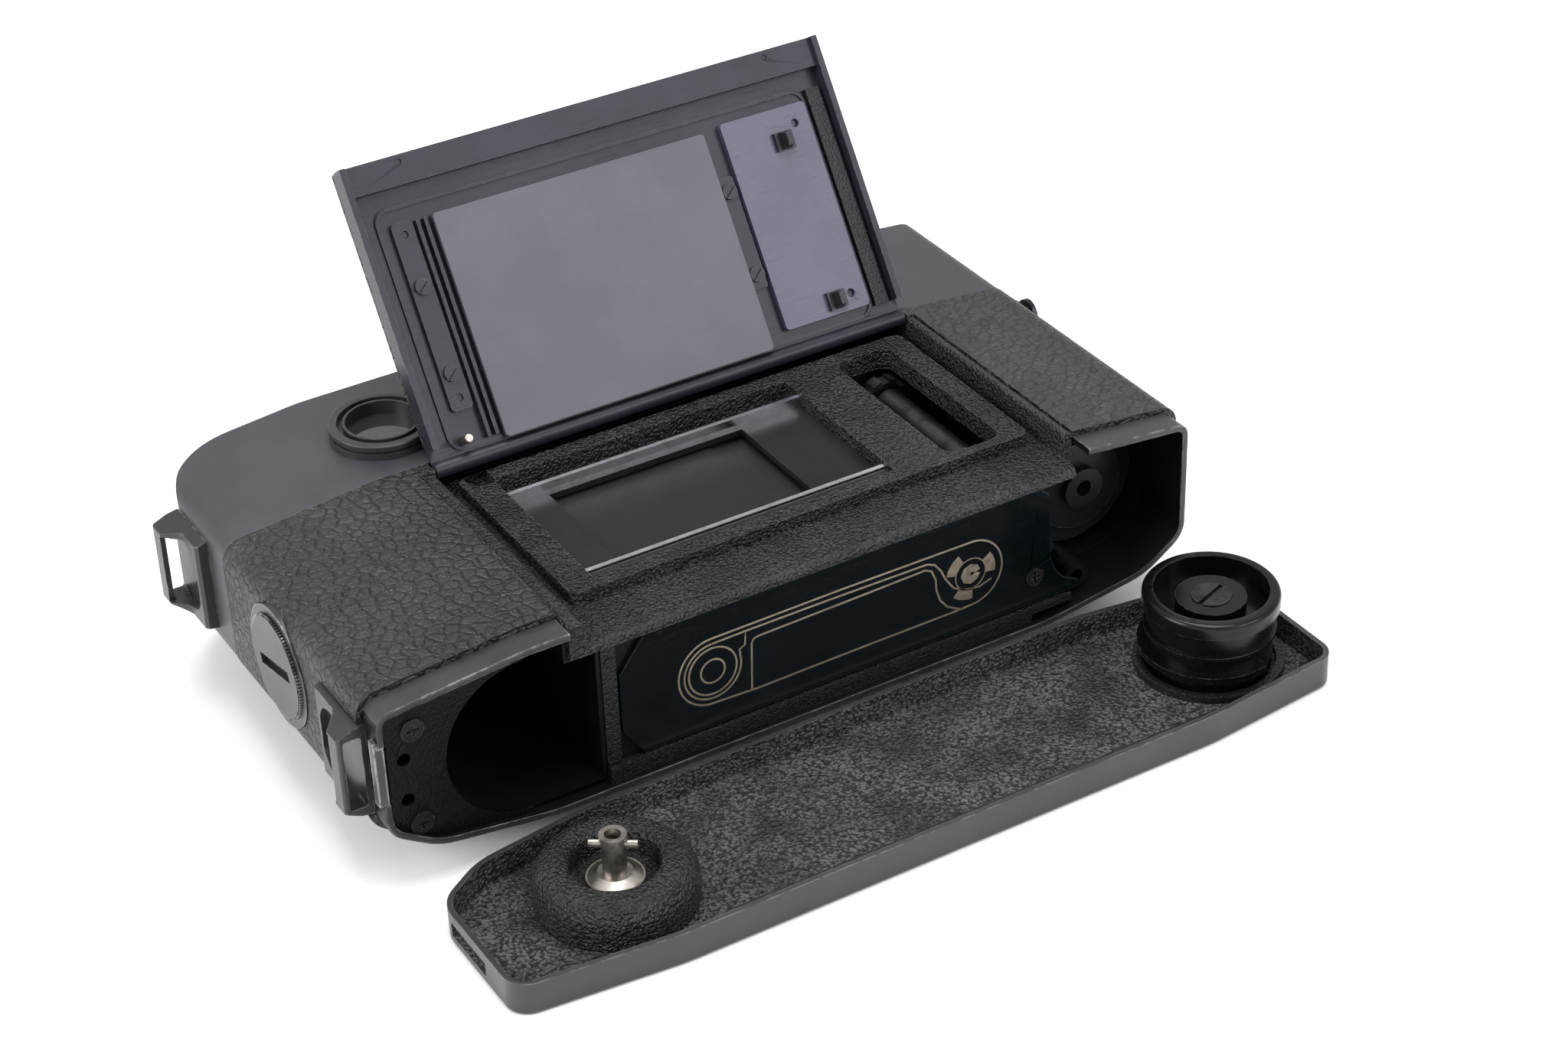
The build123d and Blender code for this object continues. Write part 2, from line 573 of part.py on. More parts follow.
FLANGE_DEPTH = Z_FRONT + SKIN + WALL
with BuildPart() as lens_mount:
    ring(deck(0), FLANGE_DEPTH, (0, 0), MOUNT_R, MOUNT_BORE)
    ring(deck(FLANGE_DEPTH), 1.7, (0, 0), MOUNT_R, MOUNT_BORE + 0.6)
    with BuildSketch(deck(FLANGE_DEPTH + 0.5)):
        Circle(MOUNT_BORE + 0.6)
        Circle(MOUNT_BORE - 1.0, mode=Mode.SUBTRACT)
        with PolarLocations(MOUNT_BORE, 4):
            Rectangle(8.0, 20.0, mode=Mode.SUBTRACT)
    extrude(amount=1.2)
save(lens_mount, "lens_mount")

with BuildPart() as lens_release:
    disc(deck(0.5), 3.4, BUTTON_PLACE, BUTTON_R)
save(lens_release, "lens_release")

FRONT_LEVERS = (
    ("self_timer_lever", (-46.0, 6.0), 16.0, 4.4),
    ("frame_selector_lever", (36.0, 9.0), 12.5, 3.8),
    ("rewind_release_lever", (50.0, -6.0), 11.0, 3.6),
)
for name, pivot, reach, hub in FRONT_LEVERS:
    with BuildPart() as front_lever:
        with BuildSketch(deck(0.6)):
            with Locations(pivot):
                Circle(hub)
            with BuildLine():
                px, py = pivot
                Polyline((px - hub * 0.8, py), (px - 1.6, py - reach), (px + 1.6, py - reach),
                         (px + hub * 0.8, py), close=True)
            make_face()
        extrude(amount=2.2)
    save(front_lever, name)

# ================= door =================

with BuildPart() as hinge_brackets:
    for x0, x1 in ((REC_L + FIT, -33.5), (56.7, REC_R - FIT)):
        bar(side(x0), x1 - x0, (BRACKET_Y + 0.1, Y_SEAM - FIT, LEDGE_Z, 37.1))
    disc(side(REC_L + FIT), REC_R - REC_L - 2 * FIT, (HINGE_Y, HINGE_Z), 0.75)
save(hinge_brackets, "hinge_brackets")

with BuildPart() as door_shell:
    bar(door_plane(-0.7), 0.7, (DOOR_L, DOOR_R, 1.6, DOOR_LEN), radius=0.5)
    bar(door_plane(0), 1.8, (DOOR_L, DOOR_R, 45.4, DOOR_LEN))
    bar(door_plane(0), 2.8, (DOOR_L, DOOR_L + 1.1, 3.2, DOOR_LEN))
    bar(door_plane(0), 2.8, (DOOR_R - 1.1, DOOR_R, 3.2, DOOR_LEN))
    bar(door_plane(0), 0.45, (-29.4, 51.6, 1.8, 42.6), radius=2.5)
    bar(door_plane(0), 0.45, (-28.8, 51.0, 2.4, 42.0), radius=1.9, mode=Mode.SUBTRACT)
    disc(side(DOOR_L), DOOR_R - DOOR_L, (HINGE_Y, HINGE_Z), 1.35)
    bar(door_plane(-0.7), 0.7, (DOOR_L, DOOR_R, 0.0, 1.8))
    disc(side(DOOR_L - 1), DOOR_R - DOOR_L + 2, (HINGE_Y, HINGE_Z), 0.8, mode=Mode.SUBTRACT)
    for place in ((-22.7, 49.0), (45.9, 49.0)):
        disc(door_plane(1.5), 1, place, 0.6, mode=Mode.SUBTRACT)
save(door_shell, "door_shell")

with BuildPart() as door_leather:
    bar(door_plane(-1.5), 0.8, (DOOR_L, DOOR_R, 3.4, DOOR_LEN), radius=0.5)
save(door_leather, "door_leather")

with BuildPart() as pressure_plate:
    bar(door_plane(0.8), 1.0, PLATE, radius=0.6)
save(pressure_plate, "pressure_plate")

with BuildPart() as pressure_springs:
    for v in (11.0, 30.2):
        bar(door_plane(0.05), 0.2, (-18.0, 29.0, v - 1.2, v + 1.2))
save(pressure_springs, "pressure_springs")

with BuildPart() as spring_holders:
    bar(door_plane(0), 0.9, (-27.2, -23.4, 8.0, 39.8), radius=0.8)
    bar(door_plane(0), 0.6, (31.0, 33.8, 12.0, 31.6), radius=0.5)
    for v in (10.0, 37.6):
        disc(door_plane(0.5), 1, (-25.3, v), 0.7, mode=Mode.SUBTRACT)
    for x in (-22.9, -21.5):
        bar(door_plane(0), 1.4, (x, x + 0.6, 2.6, 39.4))
save(spring_holders, "spring_holders")

with BuildPart() as door_screws:
    for place, height in (((-25.3, 28.8), 0.9), ((-25.3, 14.1), 0.9),
                          ((32.3, 29.1), 0.6), ((32.3, 14.5), 0.6)):
        disc(door_plane(height), 0.6, place, 1.35)
        straight_slot(door_plane(height + 0.6), 0.35, place, 3.0, 0.45, 40)
save(door_screws, "door_screws")

with BuildPart() as film_guide_plate:
    bar(door_plane(0), 1.3, GUIDE, radius=0.6)
    for place in ((47.9, 37.0), (47.9, 6.6)):
        disc(door_plane(0.3), 2, place, 0.75, mode=Mode.SUBTRACT)
save(film_guide_plate, "film_guide_plate")

with BuildPart() as film_guide_tabs:
    for v in (34.6, 6.2):
        bar(door_plane(1.3), 0.9, (43.0, 46.4, v - 1.6, v + 1.6))
        with BuildSketch(door_plane(2.2)):
            rect(43.8, 45.4, v - 1.5, v + 1.5)
        extrude(amount=2.0, taper=12)
save(film_guide_tabs, "film_guide_tabs")

with BuildPart() as light_seal:
    bar(door_plane(0), 1.2, (51.8, 54.4, 3.2, 42.0))
save(light_seal, "light_seal")

with BuildPart() as door_pin:
    disc(door_plane(0), 3.4, (-26.8, 3.3), 0.75)
    fillet(door_pin.edges().filter_by(GeomType.CIRCLE).sort_by(Axis.Z)[-1], 0.2)
save(door_pin, "door_pin")

# ================= base plate =================

SLOT = (BASE_Y - 5.3, BASE_Y + 5.7, 1.6, 4.0)   # y and z limits of the catch slot
CRANK_R = 10.8
with BuildPart() as base_plate:
    with BuildSketch(deck(0)):
        base_outline(BASE_INSET - BASE_WALL)
    extrude(amount=RIM_H)
    fillet(base_plate.faces().sort_by(Axis.Z)[0].edges(), 0.7)
    with BuildSketch(deck(BASE_FLOOR)):
        base_outline(BASE_INSET)
    extrude(amount=RIM_H, mode=Mode.SUBTRACT)
    bar(side(BASE_X - HALF - 2), 6, SLOT, mode=Mode.SUBTRACT)
    disc(deck(-1), 4, REWIND, CRANK_R + 0.4, mode=Mode.SUBTRACT)
    disc(deck(-1), 4, LOCK, 9.4, mode=Mode.SUBTRACT)
save(base_plate, "base_plate")

with BuildPart() as rewind_boss:
    ring(deck(BASE_FLOOR), 7.6, REWIND, 12.7, 6.9)
    upper = rewind_boss.edges().filter_by(GeomType.CIRCLE).group_by(Axis.Z)[-1]
    fillet(upper.sort_by(SortBy.RADIUS)[-1], 3.8)
    upper = rewind_boss.edges().filter_by(GeomType.CIRCLE).group_by(Axis.Z)[-1]
    fillet(upper.sort_by(SortBy.RADIUS)[0], 1.3)
    disc(deck(BASE_FLOOR), 3.4, REWIND, 7.0)
    disc(deck(0), 3.6, REWIND, CRANK_R + 0.4, mode=Mode.SUBTRACT)
    disc(deck(0), 12, REWIND, 2.35, mode=Mode.SUBTRACT)
save(rewind_boss, "rewind_boss")

CROSS = Plane(origin=(REWIND[0], REWIND[1], 11.6), z_dir=(0.82, -0.57, 0))
with BuildPart() as rewind_spindle:
    disc(deck(2.9), 10.4, REWIND, 1.9)
    disc(deck(2.9), 2.0, REWIND, 2.3)
    disc(deck(4.9), 0.7, REWIND, 4.5)
    with BuildSketch(deck(5.6)):
        with Locations(REWIND):
            Circle(4.2)
    extrude(amount=0.8, taper=62)
    ring(deck(12.5), 0.8, REWIND, 2.15, 1.3)
    disc(deck(8.0), 8, REWIND, 1.3, mode=Mode.SUBTRACT)
    disc(CROSS.offset(-3.7), 7.4, (0, 0), 0.6)
save(rewind_spindle, "rewind_spindle")

rx, ry = REWIND
with BuildPart() as rewind_disc:
    disc(deck(1.0), 1.9, REWIND, CRANK_R)
    bar(deck(0.9), 1.5, (rx - 3.2, rx + 10.9, ry - 2.6, ry + 2.6), mode=Mode.SUBTRACT)
save(rewind_disc, "rewind_disc")

with BuildPart() as rewind_crank:
    bar(deck(0.5), 1.0, (rx - 2.9, rx + 9.6, ry - 2.2, ry + 2.2), radius=1.2)
    disc(level(ry + 2.5), 5.0, (rx - 1.9, 1.0), 0.5)
save(rewind_crank, "rewind_crank")

lx, ly = LOCK
with BuildPart() as lock_collar:
    ring(deck(BASE_FLOOR), 1.2, LOCK, 12.4, 11.0)
save(lock_collar, "lock_collar")

with BuildPart() as lock_drum:
    disc(deck(1.5), 12.5, LOCK, 10.3)
    disc(deck(0.9), 1.0, LOCK, 9.2)
    disc(deck(12.8), 2.6, LOCK, 11.25)
    ring(deck(8.3), 0.6, LOCK, 10.8, 10.2)
    fillet(lock_drum.edges().filter_by(GeomType.CIRCLE).group_by(Axis.Z)[-1], 0.8)
    disc(deck(11.4), 9, LOCK, 9.4, mode=Mode.SUBTRACT)
    disc(deck(11.4), 2.6, LOCK, 5.8)
    disc(deck(13.2), 2, LOCK, 3.4, mode=Mode.SUBTRACT)
    bar(deck(0), 2.2, (lx - 8.2, lx + 8.2, ly - 3.3, ly + 3.3), mode=Mode.SUBTRACT)
    with BuildSketch(deck(4.7)):
        with Locations(LOCK):
            Circle(11.8)
            Circle(10.2, mode=Mode.SUBTRACT)
        rect(lx + 3, lx + 14, ly - 14, ly + 14, mode=Mode.SUBTRACT)
    extrude(amount=1.0)
save(lock_drum, "lock_drum")

with BuildPart() as lock_screw:
    disc(deck(13.2), 1.0, LOCK, 3.35)
    straight_slot(deck(14.2), 0.6, LOCK, 7.5, 0.8, 20)
save(lock_screw, "lock_screw")

with BuildPart() as lock_key:
    bar(deck(0.6), 0.8, (lx - 7.9, lx + 7.6, ly - 2.9, ly + 2.9), radius=1.4)
    disc(level(ly + 3.1), 6.2, (lx - 6.9, 1.0), 0.4)
save(lock_key, "lock_key")

with BuildPart() as door_retainer_strip:
    bar(deck(BASE_FLOOR), 3.2, (-31.0, 58.0, -65.0, -64.2))
save(door_retainer_strip, "door_retainer_strip")
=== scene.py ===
import json
import math

import bpy
from mathutils import Matrix, Vector

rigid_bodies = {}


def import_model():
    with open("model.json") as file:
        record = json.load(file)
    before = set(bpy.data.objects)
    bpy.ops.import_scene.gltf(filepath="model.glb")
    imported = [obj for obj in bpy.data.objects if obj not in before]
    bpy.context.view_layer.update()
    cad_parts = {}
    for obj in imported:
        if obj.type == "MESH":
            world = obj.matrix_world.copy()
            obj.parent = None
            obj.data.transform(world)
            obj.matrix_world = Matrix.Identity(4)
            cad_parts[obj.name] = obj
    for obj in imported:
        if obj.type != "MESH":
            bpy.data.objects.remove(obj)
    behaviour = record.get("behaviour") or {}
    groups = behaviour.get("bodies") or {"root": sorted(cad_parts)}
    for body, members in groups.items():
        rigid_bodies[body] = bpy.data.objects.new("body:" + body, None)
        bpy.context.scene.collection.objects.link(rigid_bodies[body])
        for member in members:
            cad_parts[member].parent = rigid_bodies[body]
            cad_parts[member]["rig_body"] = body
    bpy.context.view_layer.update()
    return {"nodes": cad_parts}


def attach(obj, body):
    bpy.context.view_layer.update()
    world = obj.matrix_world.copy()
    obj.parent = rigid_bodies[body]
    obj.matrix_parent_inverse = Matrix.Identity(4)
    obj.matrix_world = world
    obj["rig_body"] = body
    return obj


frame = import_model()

NODES = frame["nodes"]
BODY_OF = {name: node["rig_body"] for name, node in NODES.items()}
MM = 0.001


# ------------------------------------------------------------------ camera, lights and floor

# The camera stands to the left, in front of the open bottom, and above. Angles in degrees, place in metres.
CAMERA_AZIMUTH, CAMERA_ELEVATION, CAMERA_ROLL = -30.093, 32.912, -2.128
CAMERA_PLACE = (-0.2088, -0.3920, 0.3135)
SENSOR_WIDTH, LENS_LENGTH = 36.0, 75.07
SHIFT_X, SHIFT_Y = 0.0005, -0.0009

# Area lights: name, place, size, power, colour. They all face the camera body.
LIT_POINT = (0.0, -0.01, 0.02)
WHITE, COOL_WHITE = (1.0, 1.0, 1.0), (0.92, 0.92, 1.0)
LIGHTS = (
    ("light_top", (0.05, -0.02, 0.95), (0.8, 0.5), 7.5, WHITE),
    ("light_left", (-0.85, 0.05, 0.50), (0.5, 0.6), 6.5, WHITE),
    ("light_front", (0.42, -0.74, 0.56), (0.6, 0.5), 3.2, COOL_WHITE),
)
WORLD_STRENGTH = 0.72

FLOOR_REACH = 3.0
FLOOR_DROP = 0.02 * MM
FLOOR_TONES = (0.90, 0.90, 0.91), (0.93, 0.93, 0.935)


def add_to_scene(thing):
    bpy.context.scene.collection.objects.link(thing)


def make_camera():
    azimuth, elevation, roll = (math.radians(a) for a in (CAMERA_AZIMUTH, CAMERA_ELEVATION, CAMERA_ROLL))
    back = Vector((
        math.sin(azimuth) * math.cos(elevation),
        -math.cos(azimuth) * math.cos(elevation),
        math.sin(elevation),
    ))
    right = Vector((0, 0, 1)).cross(back).normalized()
    up = back.cross(right)
    x = math.cos(roll) * right + math.sin(roll) * up
    y = -math.sin(roll) * right + math.cos(roll) * up
    data = bpy.data.cameras.new("camera")
    data.sensor_width = SENSOR_WIDTH
    data.sensor_fit = "HORIZONTAL"
    data.lens = LENS_LENGTH
    data.shift_x, data.shift_y = SHIFT_X, SHIFT_Y
    data.clip_start, data.clip_end = 0.01, 20.0
    camera = bpy.data.objects.new("camera", data)
    turn = Matrix((x, y, back)).transposed().to_4x4()
    camera.matrix_world = Matrix.Translation(CAMERA_PLACE) @ turn
    add_to_scene(camera)
    bpy.context.scene.camera = camera


def area_light(name, place, size, power, colour):
    data = bpy.data.lights.new(name, "AREA")
    data.shape = "RECTANGLE"
    data.size, data.size_y = size
    data.energy = power
    data.color = colour
    light = bpy.data.objects.new(name, data)
    direction = Vector(LIT_POINT) - Vector(place)
    turn = direction.to_track_quat("-Z", "Y").to_matrix().to_4x4()
    light.matrix_world = Matrix.Translation(place) @ turn
    add_to_scene(light)


def make_world():
    world = bpy.data.worlds.new("studio")
    world.use_nodes = True
    background = world.node_tree.nodes["Background"]
    background.inputs["Color"].default_value = (1.0, 1.0, 1.0, 1.0)
    background.inputs["Strength"].default_value = WORLD_STRENGTH
    bpy.context.scene.world = world
    settings = bpy.context.scene.view_settings
    settings.view_transform = "Standard"
    settings.look = "None"


def make_floor():
    mesh = bpy.data.meshes.new("floor")
    corners = [(x * FLOOR_REACH, y * FLOOR_REACH, 0) for x, y in ((-1, -1), (1, -1), (1, 1), (-1, 1))]
    mesh.from_pydata(corners, [], [(0, 1, 2, 3)])
    floor = bpy.data.objects.new("floor", mesh)
    floor.location.z = -FLOOR_DROP
    add_to_scene(floor)
    look = Look("floor", roughness=0.8, specular=0.2)
    look.colour(look.mix(look.noise(0.03, 3), *FLOOR_TONES))
    mesh.materials.append(look.material)


# ------------------------------------------------------------------ materials

class Look:
    """A procedural material. Distances are in millimetres, and scales in repeats per millimetre."""

    def __init__(self, name, roughness=0.5, metallic=0.0, specular=0.5, coat=0.0, coat_roughness=0.1):
        self.material = bpy.data.materials.new(name)
        self.material.use_nodes = True
        self.tree = self.material.node_tree
        self.shader = self.tree.nodes["Principled BSDF"]
        sockets = self.shader.inputs
        sockets["Roughness"].default_value = roughness
        sockets["Metallic"].default_value = metallic
        sockets["Specular IOR Level"].default_value = specular
        sockets["Coat Weight"].default_value = coat
        sockets["Coat Roughness"].default_value = coat_roughness
        coordinates = self.tree.nodes.new("ShaderNodeTexCoord")
        scale = self.tree.nodes.new("ShaderNodeVectorMath")
        scale.operation = "SCALE"
        scale.inputs["Scale"].default_value = 1 / MM
        self.tree.links.new(coordinates.outputs["Object"], scale.inputs[0])
        self.place = scale.outputs[0]

    def put(self, socket, value):
        """Link an output to a socket, or set its value."""
        if isinstance(value, bpy.types.NodeSocket):
            self.tree.links.new(value, socket)
        elif isinstance(value, tuple) and len(value) == 3 and socket.type == "RGBA":
            socket.default_value = (*value, 1.0)
        else:
            socket.default_value = value

    def stretch(self, factors):
        """The coordinates, each multiplied by a factor of its own."""
        node = self.tree.nodes.new("ShaderNodeVectorMath")
        node.operation = "MULTIPLY"
        self.put(node.inputs[0], self.place)
        node.inputs[1].default_value = factors
        return node.outputs[0]

    def noise(self, scale, detail=2.0, roughness=0.5, place=None):
        node = self.tree.nodes.new("ShaderNodeTexNoise")
        self.put(node.inputs["Vector"], place or self.place)
        node.inputs["Scale"].default_value = scale
        node.inputs["Detail"].default_value = detail
        node.inputs["Roughness"].default_value = roughness
        return node.outputs["Fac"]

    def wander(self, scale, amount, place=None):
        """The coordinates, pushed about by a noise of the given scale."""
        node = self.tree.nodes.new("ShaderNodeTexNoise")
        self.put(node.inputs["Vector"], place or self.place)
        node.inputs["Scale"].default_value = scale
        centred = self.tree.nodes.new("ShaderNodeVectorMath")
        centred.operation = "SUBTRACT"
        self.put(centred.inputs[0], node.outputs["Color"])
        centred.inputs[1].default_value = (0.5, 0.5, 0.5)
        scaled = self.tree.nodes.new("ShaderNodeVectorMath")
        scaled.operation = "MULTIPLY_ADD"
        self.put(scaled.inputs[0], centred.outputs[0])
        scaled.inputs[1].default_value = (amount, amount, amount)
        self.put(scaled.inputs[2], place or self.place)
        return scaled.outputs[0]

    def cells(self, feature, scale, place, randomness=1.0):
        """The distance that a cell pattern gives: to the cells' edges, or smoothed, to their middles."""
        node = self.tree.nodes.new("ShaderNodeTexVoronoi")
        node.feature = feature
        self.put(node.inputs["Vector"], place)
        node.inputs["Scale"].default_value = scale
        node.inputs["Randomness"].default_value = randomness
        if feature == "SMOOTH_F1":
            node.inputs["Smoothness"].default_value = 0.6
        return node.outputs["Distance"]

    def map(self, value, low, high, to_low=0.0, to_high=1.0):
        """The value, eased from the range low to high into the range to_low to to_high."""
        node = self.tree.nodes.new("ShaderNodeMapRange")
        node.interpolation_type = "SMOOTHSTEP"
        self.put(node.inputs["Value"], value)
        node.inputs["From Min"].default_value = low
        node.inputs["From Max"].default_value = high
        node.inputs["To Min"].default_value = to_low
        node.inputs["To Max"].default_value = to_high
        return node.outputs["Result"]

    def math(self, operation, a, b):
        node = self.tree.nodes.new("ShaderNodeMath")
        node.operation = operation
        self.put(node.inputs[0], a)
        self.put(node.inputs[1], b)
        return node.outputs[0]

    def mix(self, factor, a, b):
        """Colour a where the factor is 0, and colour b where it is 1."""
        node = self.tree.nodes.new("ShaderNodeMix")
        node.data_type = "RGBA"
        self.put(node.inputs["Factor"], factor)
        self.put(node.inputs[6], a)
        self.put(node.inputs[7], b)
        return node.outputs[2]

    def edges(self, reach, breakup_scale, low=0.15, high=0.6):
        """A mask of outward edges, broken up by noise, for paint worn off them; on the lock drum it places a
        painted highlight instead.
        """
        node = self.tree.nodes.new("ShaderNodeAmbientOcclusion")
        node.inside = True
        node.samples = 4
        node.inputs["Distance"].default_value = reach * MM
        open_side = self.math("SUBTRACT", 1.0, node.outputs["AO"])
        breakup = self.map(self.noise(breakup_scale, 4, 0.65), 0.35, 0.62)
        return self.map(self.math("MULTIPLY", open_side, breakup), low, high)

    def bump(self, height, depth):
        """Tilt the surface as if the height, from 0 to 1, stood the given depth proud of it."""
        node = self.tree.nodes.new("ShaderNodeBump")
        self.put(node.inputs["Height"], height)
        node.inputs["Distance"].default_value = depth * MM
        self.put(self.shader.inputs["Normal"], node.outputs["Normal"])

    def colour(self, value):
        self.put(self.shader.inputs["Base Color"], value)

    def roughness(self, value):
        self.put(self.shader.inputs["Roughness"], value)

    def metallic(self, value):
        self.put(self.shader.inputs["Metallic"], value)


SCUFF = (0.16, 0.16, 0.17)
# Edge colour: worn paint on most parts, a painted highlight on the lock drum's rim.
EDGE_WEAR_AND_HIGHLIGHT = (0.25, 0.25, 0.25)
RUBBED_CRINKLE = (0.22, 0.21, 0.20)
BARE_METAL = (0.35, 0.33, 0.31)
LEATHER_TONES = (0.017, 0.017, 0.018), (0.024, 0.024, 0.026)
# Painted highlight for the pebbles' shoulders beside the creases.
LEATHER_SHOULDER_HIGHLIGHT = (0.080, 0.080, 0.087)
# Painted shade for the leather's creases.
LEATHER_CREASE_SHADE = (0.003, 0.003, 0.003)


def satin_paint(name, dark, light, rough=0.42, wear=BARE_METAL, wear_low=0.2, wear_high=0.7):
    """Semi-matt black paint, handled smooth in places and worn through to metal on its edges."""
    look = Look(name)
    blotch = look.noise(0.06, 4, 0.6)
    scuffs = look.map(look.noise(0.5, 6, 0.75, look.stretch((1.0, 0.35, 1.0))), 0.62, 0.80)
    paint = look.mix(look.map(blotch, 0.3, 0.7), dark, light)
    paint = look.mix(look.math("MULTIPLY", scuffs, 0.25), paint, SCUFF)
    worn = look.edges(0.35, 0.35, wear_low, wear_high)
    look.colour(look.mix(worn, paint, wear))
    look.metallic(look.math("MULTIPLY", worn, 0.8))
    fine = look.noise(3.0, 3, 0.6)
    base_rough = look.map(blotch, 0.2, 0.8, rough - 0.06, rough + 0.06)
    look.roughness(look.math("ADD", base_rough, look.math("MULTIPLY", fine, 0.06)))
    look.bump(fine, 0.02)
    return look.material


def leatherette():
    """Pebbled covering: rounded, uneven pebbles parted by narrow creases, with a fine skin grain; the creases
    are darkened as painted shade, and the pebbles' shoulders beside them lightened as a painted highlight.
    """
    look = Look("leatherette", specular=0.45)
    place = look.wander(0.30, 1.1, look.stretch((0.85, 1.0, 1.0)))
    place = look.wander(1.0, 0.35, place)
    crease = look.cells("DISTANCE_TO_EDGE", 0.52, place, randomness=0.9)
    minor = look.cells("DISTANCE_TO_EDGE", 1.05, look.wander(0.9, 0.5, place))
    pebble = look.map(crease, 0.0, 0.20)
    fold = look.map(minor, 0.0, 0.16)
    skin = look.noise(3.0, 3, 0.6)
    height = look.math("ADD", look.math("MULTIPLY", pebble, 0.80), look.math("MULTIPLY", fold, 0.20))
    height = look.math("ADD", height, look.math("MULTIPLY", skin, 0.07))
    flat = look.mix(look.map(look.noise(0.05, 3), 0.3, 0.7), *LEATHER_TONES)
    # Painted highlight: a lighter band along both sides of each crease, on the pebbles' shoulders, in
    # patches.
    shoulder = look.math("MULTIPLY", look.map(crease, 0.06, 0.12), look.map(crease, 0.24, 0.15))
    shoulder_highlight = look.math("MULTIPLY", shoulder, look.map(look.noise(0.10, 4, 0.6), 0.48, 0.66))
    colour = look.mix(look.math("MULTIPLY", shoulder_highlight, 0.25), flat, LEATHER_SHOULDER_HIGHLIGHT)
    # Painted shade: the creases are coloured near black.
    look.colour(look.mix(look.map(crease, 0.0, 0.06), LEATHER_CREASE_SHADE, colour))
    look.roughness(look.map(skin, 0.3, 0.7, 0.36, 0.50))
    look.bump(height, 0.46)
    return look.material


def crinkle_paint(name, dark, light, scale, depth, rough, worn=0.0, specular=0.5):
    """Crackle finish: small rounded grains with glossy crowns, coloured lighter on the crowns as a painted
    highlight.
    """
    look = Look(name, specular=specular)
    grains = look.cells("SMOOTH_F1", scale, look.wander(0.8, 0.8))
    fine = look.noise(scale * 2.2, 3, 0.6)
    height = look.math("SUBTRACT", look.math("MULTIPLY", fine, 0.55), grains)
    patches = look.map(look.noise(0.09, 4, 0.6), 0.25, 0.65)
    # Painted highlight: the light colour goes on the grains' crowns, in patches, in place of glints.
    grain_highlight = look.map(height, -0.45, 0.15)
    colour = look.mix(look.math("MULTIPLY", patches, grain_highlight), dark, light)
    if worn:
        edge = look.edges(0.4, 0.5, 0.25, 0.8)
        colour = look.mix(look.math("MULTIPLY", edge, worn), colour, RUBBED_CRINKLE)
    look.colour(colour)
    look.roughness(look.map(fine, 0.3, 0.7, rough - 0.07, rough + 0.10))
    look.bump(height, depth)
    return look.material


def smooth_paint(name, dark, light, rough=0.3, scratch=0.0, edge=0.0, specular=0.5):
    """Smooth machine paint with faint scratches along the camera's length."""
    look = Look(name, specular=specular)
    lines = look.map(look.noise(0.25, 6, 0.8, look.stretch((1.0, 12.0, 12.0))), 0.45, 0.75)
    colour = look.mix(look.map(look.noise(0.08, 3), 0.3, 0.7), dark, light)
    if scratch:
        colour = look.mix(look.math("MULTIPLY", lines, scratch), colour, SCUFF)
    if edge:
        colour = look.mix(look.math("MULTIPLY", look.edges(0.25, 0.8), edge), colour, EDGE_WEAR_AND_HIGHLIGHT)
    look.colour(colour)
    look.roughness(look.map(lines, 0.0, 1.0, rough, rough + 0.12))
    look.bump(look.noise(2.0, 4, 0.6), 0.012)
    return look.material


def metal(name, colour, dull, rough, direction=(1.0, 8.0, 1.0)):
    """Plated or turned metal, a little tarnished."""
    look = Look(name, metallic=1.0)
    lines = look.noise(1.6, 4, 0.7, look.stretch(direction))
    tarnish = look.map(look.noise(0.35, 5, 0.7), 0.42, 0.72)
    look.colour(look.mix(tarnish, colour, dull))
    look.roughness(look.map(lines, 0.25, 0.75, rough - 0.07, rough + 0.13))
    look.bump(lines, 0.01)
    return look.material


def gloss_black():
    """Lacquered plate, nearly black, with fine dust and faint rub marks."""
    look = Look("diagram_black", specular=0.4, coat=0.15, coat_roughness=0.08)
    dust = look.map(look.noise(5.0, 5, 0.8), 0.70, 0.82)
    rub = look.map(look.noise(0.3, 5, 0.7, look.stretch((1.0, 1.0, 5.0))), 0.5, 0.8)
    colour = look.mix(look.math("MULTIPLY", rub, 0.2), (0.002, 0.004, 0.005), (0.012, 0.018, 0.019))
    look.colour(look.mix(look.math("MULTIPLY", dust, 0.25), colour, (0.12, 0.12, 0.12)))
    look.roughness(look.map(rub, 0.0, 1.0, 0.16, 0.28))
    return look.material


def cloth():
    """Rubberised shutter cloth: flat black with a faint, fine weave."""
    look = Look("curtain_cloth", specular=0.35)
    weave = look.noise(6.0, 2, 0.5, look.stretch((1.0, 3.0, 1.0)))
    look.colour(look.mix(look.noise(0.15, 3), (0.006, 0.006, 0.008), (0.010, 0.010, 0.013)))
    look.roughness(look.map(weave, 0.3, 0.7, 0.42, 0.55))
    look.bump(weave, 0.02)
    return look.material


def dark_glass():
    """Dark coated glass, seen as a reflection over a dark inside."""
    look = Look("finder_glass", coat=0.6, coat_roughness=0.03)
    look.colour(look.mix(look.noise(0.12, 2), (0.030, 0.026, 0.026), (0.0420, 0.0364, 0.0364)))
    look.roughness(look.map(look.noise(0.8, 3), 0.3, 0.7, 0.03, 0.08))
    return look.material


# ------------------------------------------------------------------ dressing the CAD nodes

